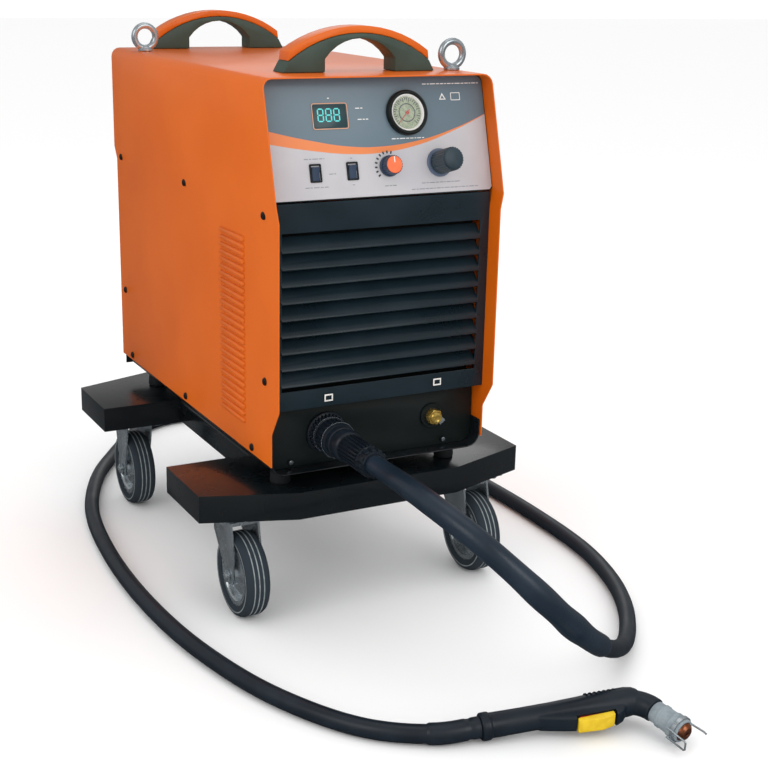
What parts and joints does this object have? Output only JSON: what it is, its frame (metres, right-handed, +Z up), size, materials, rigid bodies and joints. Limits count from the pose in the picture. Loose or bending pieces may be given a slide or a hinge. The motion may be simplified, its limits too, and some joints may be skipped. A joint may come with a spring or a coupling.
{
  "type": "plasma cutter unit",
  "caption": "Wheeled plasma cutting power source: folded steel housing with sloped control fascia, louvred front, carry handles, castor trolley and a hand torch on its cable.",
  "frame": {"origin": "on the floor, under the middle of the box of the machine, trolley and torch, without the free cable", "axes": "+Z up, front of the machine faces -Y, +X to the right of someone facing the controls"},
  "size_m": [0.7308, 1.4593, 0.8273],
  "materials": {
    "orange_enamel": "glossy orange powder coat",
    "black_enamel": "glossy black powder coat",
    "black_plastic": "fine-textured black moulding",
    "handle_plastic": "dark green-grey moulding, fine texture",
    "label_film": "printed film on sheet, satin",
    "smoked_window": "smoked window over digits",
    "zinc_steel": "bright zinc plate",
    "tyre_rubber": "black rubber with grey lines",
    "black_rubber": "matt black rubber",
    "brass": "turned brass",
    "copper": "turned copper",
    "aluminium": "extruded, bare",
    "needle_red": "painted",
    "knob_plastic": "blue-black knob with an orange cap",
    "trigger_red": "red moulding",
    "flap_yellow": "yellow moulding",
    "cup_ceramic": "grey fired ceramic",
    "cable_rubber": "smooth black rubber",
    "core_steel": "varnished laminations and winding"
  },
  "bodies": {
    "root": {"base_tray": "black_enamel", "cover": "orange_enamel", "control_fascia": "label_film", "louvre_panel": "black_plastic", "connector_panel": "black_plastic", "rear_panel": "black_plastic", "front_handle_body": "handle_plastic", "front_handle_cap": "orange_enamel", "rear_handle_body": "handle_plastic", "rear_handle_cap": "orange_enamel", "eye_bolt_front": "zinc_steel", "eye_bolt_rear": "zinc_steel", "foot_front_left": "black_rubber", "foot_front_right": "black_rubber", "foot_rear_left": "black_rubber", "foot_rear_right": "black_rubber", "trolley_front_deck": "black_enamel", "trolley_rear_deck": "black_enamel", "trolley_rail_left": "black_enamel", "trolley_rail_right": "black_enamel", "display_window": "smoked_window", "gauge_case": "black_plastic", "torch_socket": "black_plastic", "torch_connector": "black_plastic", "work_stud": "brass", "mains_cable_gland": "black_rubber", "transformer": "core_steel", "heat_sink": "aluminium", "torch_handle": "black_plastic", "shield_cup": "cup_ceramic", "nozzle": "copper", "torch_cable": "cable_rubber", "front_left_castor_plate": "zinc_steel", "front_right_castor_plate": "zinc_steel", "rear_left_castor_fork": "zinc_steel", "rear_left_axle": "zinc_steel", "rear_right_castor_fork": "zinc_steel", "rear_right_axle": "zinc_steel"},
    "front_left_swivel": {"front_left_castor_fork": "zinc_steel", "front_left_axle": "zinc_steel"},
    "front_left_wheel": {"front_left_rim": "zinc_steel", "front_left_tyre": "tyre_rubber"},
    "front_right_swivel": {"front_right_castor_fork": "zinc_steel", "front_right_axle": "zinc_steel"},
    "front_right_wheel": {"front_right_rim": "zinc_steel", "front_right_tyre": "tyre_rubber"},
    "rear_left_wheel": {"rear_left_rim": "zinc_steel", "rear_left_tyre": "tyre_rubber"},
    "rear_right_wheel": {"rear_right_rim": "zinc_steel", "rear_right_tyre": "tyre_rubber"},
    "fan": {"fan_rotor": "black_plastic"},
    "needle": {"gauge_needle": "needle_red"},
    "left_rocker": {"rocker_left": "black_plastic"},
    "right_rocker": {"rocker_right": "black_plastic"},
    "current_dial": {"current_knob": "knob_plastic"},
    "regulator_dial": {"regulator_knob": "black_plastic"},
    "coupling": {"coupling_ring": "black_plastic"},
    "mains_lever": {"mains_switch_lever": "black_plastic"},
    "trigger": {"torch_trigger": "trigger_red"},
    "safety_flap": {"torch_safety_flap": "flap_yellow"}
  },
  "joints": [
    {"name": "front_left_swivel", "type": "hinge", "parent": "root", "child": "front_left_swivel", "pos_m": [-0.192, 0.008, 0.15], "axis": [0, 0, 1], "continuous": true},
    {"name": "front_left_roll", "type": "hinge", "parent": "front_left_swivel", "child": "front_left_wheel", "pos_m": [-0.192, -0.026, 0.0622], "axis": [1, 0, 0], "continuous": true},
    {"name": "rear_left_roll", "type": "hinge", "parent": "root", "child": "rear_left_wheel", "pos_m": [-0.192, 0.465, 0.0622], "axis": [1, 0, 0], "continuous": true},
    {"name": "front_right_swivel", "type": "hinge", "parent": "root", "child": "front_right_swivel", "pos_m": [0.192, 0.008, 0.15], "axis": [0, 0, 1], "continuous": true},
    {"name": "front_right_roll", "type": "hinge", "parent": "front_right_swivel", "child": "front_right_wheel", "pos_m": [0.192, -0.026, 0.0622], "axis": [1, 0, 0], "continuous": true},
    {"name": "rear_right_roll", "type": "hinge", "parent": "root", "child": "rear_right_wheel", "pos_m": [0.192, 0.465, 0.0622], "axis": [1, 0, 0], "continuous": true},
    {"name": "fan_spin", "type": "hinge", "parent": "root", "child": "fan", "pos_m": [0, 0.546, 0.566], "axis": [0, 1, 0], "continuous": true},
    {"name": "needle_sweep", "type": "hinge", "parent": "root", "child": "needle", "pos_m": [0.045, -0.05063, 0.71399], "axis": [0, 0.9635, -0.2676], "range_deg": [0, 270], "stiffness_Nm_per_rad": 0.0002},
    {"name": "left_rocker_tip", "type": "hinge", "parent": "root", "child": "left_rocker", "pos_m": [-0.101, -0.06298, 0.63854], "axis": [1, 0, 0], "range_deg": [-20, 0]},
    {"name": "right_rocker_tip", "type": "hinge", "parent": "root", "child": "right_rocker", "pos_m": [-0.046, -0.06284, 0.63902], "axis": [1, 0, 0], "range_deg": [-20, 0]},
    {"name": "current_turn", "type": "hinge", "parent": "root", "child": "current_dial", "pos_m": [0.01, -0.06591, 0.64403], "axis": [0, 0.9635, -0.2676], "range_deg": [-140, 140]},
    {"name": "regulator_turn", "type": "hinge", "parent": "root", "child": "regulator_dial", "pos_m": [0.09, -0.06937, 0.64655], "axis": [0, 0.9635, -0.2676], "range_deg": [-540, 540]},
    {"name": "coupling_turn", "type": "hinge", "parent": "root", "child": "coupling", "pos_m": [-0.076, -0.053, 0.27], "axis": [0, -1, 0], "range_deg": [0, 90]},
    {"name": "mains_lever_throw", "type": "hinge", "parent": "root", "child": "mains_lever", "pos_m": [0.095, 0.587, 0.371], "axis": [1, 0, 0], "range_deg": [0, 70]},
    {"name": "trigger_pull", "type": "hinge", "parent": "root", "child": "trigger", "pos_m": [0.07502, -0.53058, 0.02484], "axis": [0.1226, 0.1972, -0.9727], "range_deg": [0, 5], "stiffness_Nm_per_rad": 0.05},
    {"name": "flap_lift", "type": "hinge", "parent": "root", "child": "safety_flap", "pos_m": [0.08636, -0.54104, 0.02415], "axis": [-0.1226, -0.1972, 0.9727], "range_deg": [0, 30], "stiffness_Nm_per_rad": 0.02}
  ]
}
